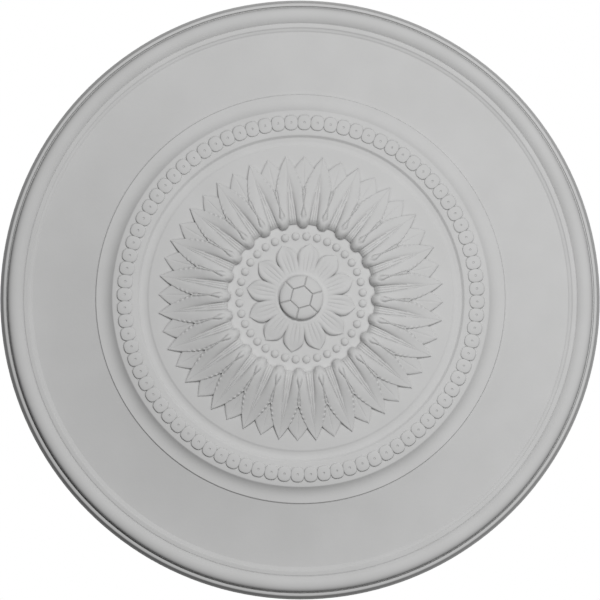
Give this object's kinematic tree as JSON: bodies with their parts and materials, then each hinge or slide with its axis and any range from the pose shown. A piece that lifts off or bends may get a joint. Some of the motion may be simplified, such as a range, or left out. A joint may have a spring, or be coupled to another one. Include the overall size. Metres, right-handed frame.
{
  "type": "ceiling rose",
  "caption": "Round ceiling rose: a wide plain field in a half-round rim, a raised bead row, a ring of pointed leaves and a flower round a faceted boss.",
  "frame": {"origin": "centre of the flat back, on the plane where it meets the ceiling", "axes": "+Z up, out of the back into the ceiling; the carved face looks down along -Z; seen from below with +X to the right, -Y is up in the picture, as in the picture"},
  "size_m": [1, 1, 0.06],
  "materials": {
    "primed_casting": "matt white primer, factory applied, a fine even mist with no gloss"
  },
  "bodies": {
    "root": {"ceiling_rose": "primed_casting"}
  },
  "joints": []
}
